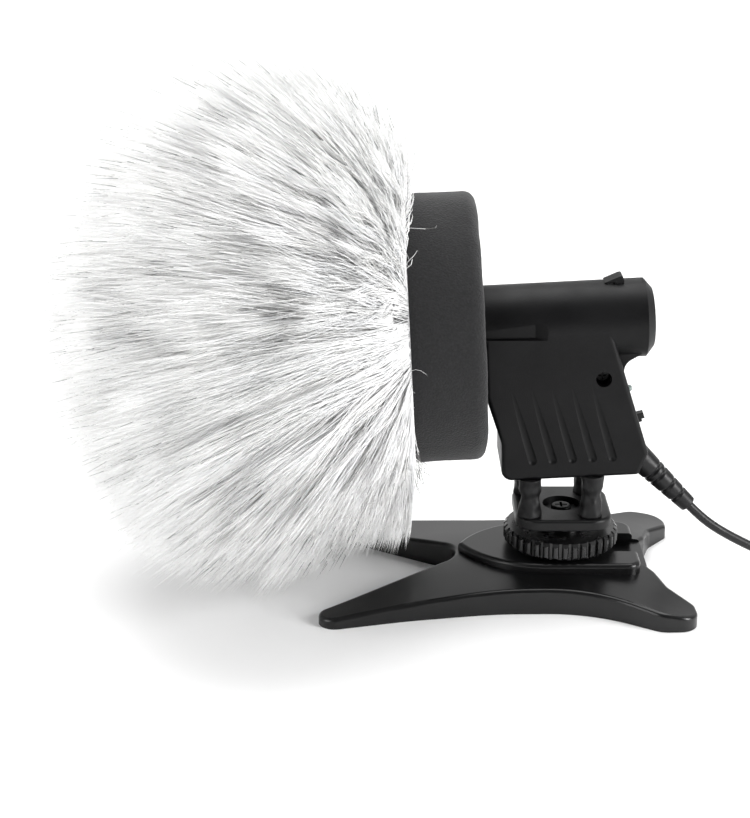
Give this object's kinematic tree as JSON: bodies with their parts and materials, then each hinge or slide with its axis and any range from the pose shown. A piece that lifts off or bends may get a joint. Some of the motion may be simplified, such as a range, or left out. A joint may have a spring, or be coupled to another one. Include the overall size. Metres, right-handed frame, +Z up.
{
  "type": "microphone with furry windscreen",
  "caption": "Camera-top stereo microphone wearing a furry windscreen over foam, on a rubber shock mount with a shoe foot and thumb wheel, standing on a four-legged table stand.",
  "frame": {"origin": "centre of the mouth of the tripod thread in the stand's underside, in the plane that the stand rests on", "axes": "+X towards the microphone's rear end, +Y towards the side away from the case screw, +Z up"},
  "size_m": [0.2455, 0.144, 0.1528],
  "materials": {
    "stand_plastic": "satin",
    "wheel_plastic": "satin",
    "mount_plastic": "satin",
    "case_plastic": "satin",
    "knob_plastic": "satin",
    "plug_plastic": "satin",
    "rubber": "matte",
    "relief_rubber": "satin",
    "cord_jacket": "satin",
    "foam": "matte",
    "fur_pile": "matte",
    "fur_knit": "matte",
    "hem_elastic": "matte",
    "brass": "satin",
    "gold_plate": "gloss",
    "steel": "satin",
    "black_steel": "satin",
    "screw_steel": "satin",
    "black_aluminium": "satin",
    "capsule_can": "satin",
    "battery_can": "gloss",
    "board": "satin",
    "led_lens": "gloss"
  },
  "bodies": {
    "stand": {"stand_base": "stand_plastic", "tripod_insert": "brass"},
    "shoe_mount": {"shoe_foot": "black_steel", "shoe_stud": "steel", "mount_plate": "mount_plastic", "mount_screw": "screw_steel", "post_front_near": "rubber", "post_front_far": "rubber", "post_rear_near": "rubber", "post_rear_far": "rubber"},
    "clamp": {"clamp_washer": "rubber"},
    "wheel": {"thumb_wheel": "wheel_plastic"},
    "microphone": {"case_near": "case_plastic", "case_far": "case_plastic", "case_screw": "screw_steel", "circuit_board": "board", "switch_body": "steel", "power_led": "led_lens", "battery": "battery_can", "front_contact": "mount_plastic", "head_tube": "black_aluminium", "head_grille": "black_steel", "capsule_carrier": "mount_plastic", "capsule_left": "capsule_can", "capsule_right": "capsule_can", "strain_relief": "relief_rubber", "cord": "cord_jacket", "cord_coil": "cord_jacket", "plug_body": "plug_plastic", "plug_pin": "gold_plate"},
    "switch": {"switch_knob": "knob_plastic"},
    "latch": {"cap_latch": "case_plastic"},
    "cap": {"battery_cap": "case_plastic", "battery_spring": "steel"},
    "foam": {"foam_windscreen": "foam"},
    "fur_cover": {"fur_backing": "fur_knit", "fur_hem": "hem_elastic", "fur_pile": "fur_pile"}
  },
  "joints": [
    {"name": "shoe_slide", "type": "slide", "parent": "stand", "child": "shoe_mount", "axis": [1, 0, 0], "range_m": [0, 0.033]},
    {"name": "washer_lift", "type": "slide", "parent": "shoe_mount", "child": "clamp", "axis": [0, 0, 1], "range_m": [0, 0.0015]},
    {"name": "wheel_turn", "type": "hinge", "parent": "clamp", "child": "wheel", "pos_m": [0, 0, 0.0146], "axis": [0, 0, 1], "range_deg": [0, 541]},
    {"name": "mount_sway", "type": "hinge", "parent": "shoe_mount", "child": "microphone", "pos_m": [0, 0, 0.0295], "axis": [0, 1, 0], "range_deg": [-2, 3], "stiffness_Nm_per_rad": 2.1, "springref_deg": 2.98, "deforming": ["post_front_near", "post_front_far", "post_rear_near", "post_rear_far"]},
    {"name": "switch_slide", "type": "slide", "parent": "microphone", "child": "switch", "axis": [-0.3123, 0, 0.95], "range_m": [-0.0015, 0.0015]},
    {"name": "latch_slide", "type": "slide", "parent": "microphone", "child": "latch", "axis": [-0.9986, 0, -0.0523], "range_m": [0, 0.0024], "stiffness_N_per_m": 60, "springref_m": -0.0005},
    {"name": "cap_pull", "type": "slide", "parent": "microphone", "child": "cap", "axis": [0.9986, 0, 0.0523], "range_m": [0, 0.012]},
    {"name": "foam_pull", "type": "slide", "parent": "microphone", "child": "foam", "axis": [-0.9986, 0, -0.0523], "range_m": [0, 0.07]},
    {"name": "fur_pull", "type": "slide", "parent": "foam", "child": "fur_cover", "axis": [-0.9986, 0, -0.0523], "range_m": [0, 0.06]}
  ],
  "couplings": [
    {"joint": "wheel_turn", "follows": "washer_lift", "rad_per_m": 6283.2}
  ]
}
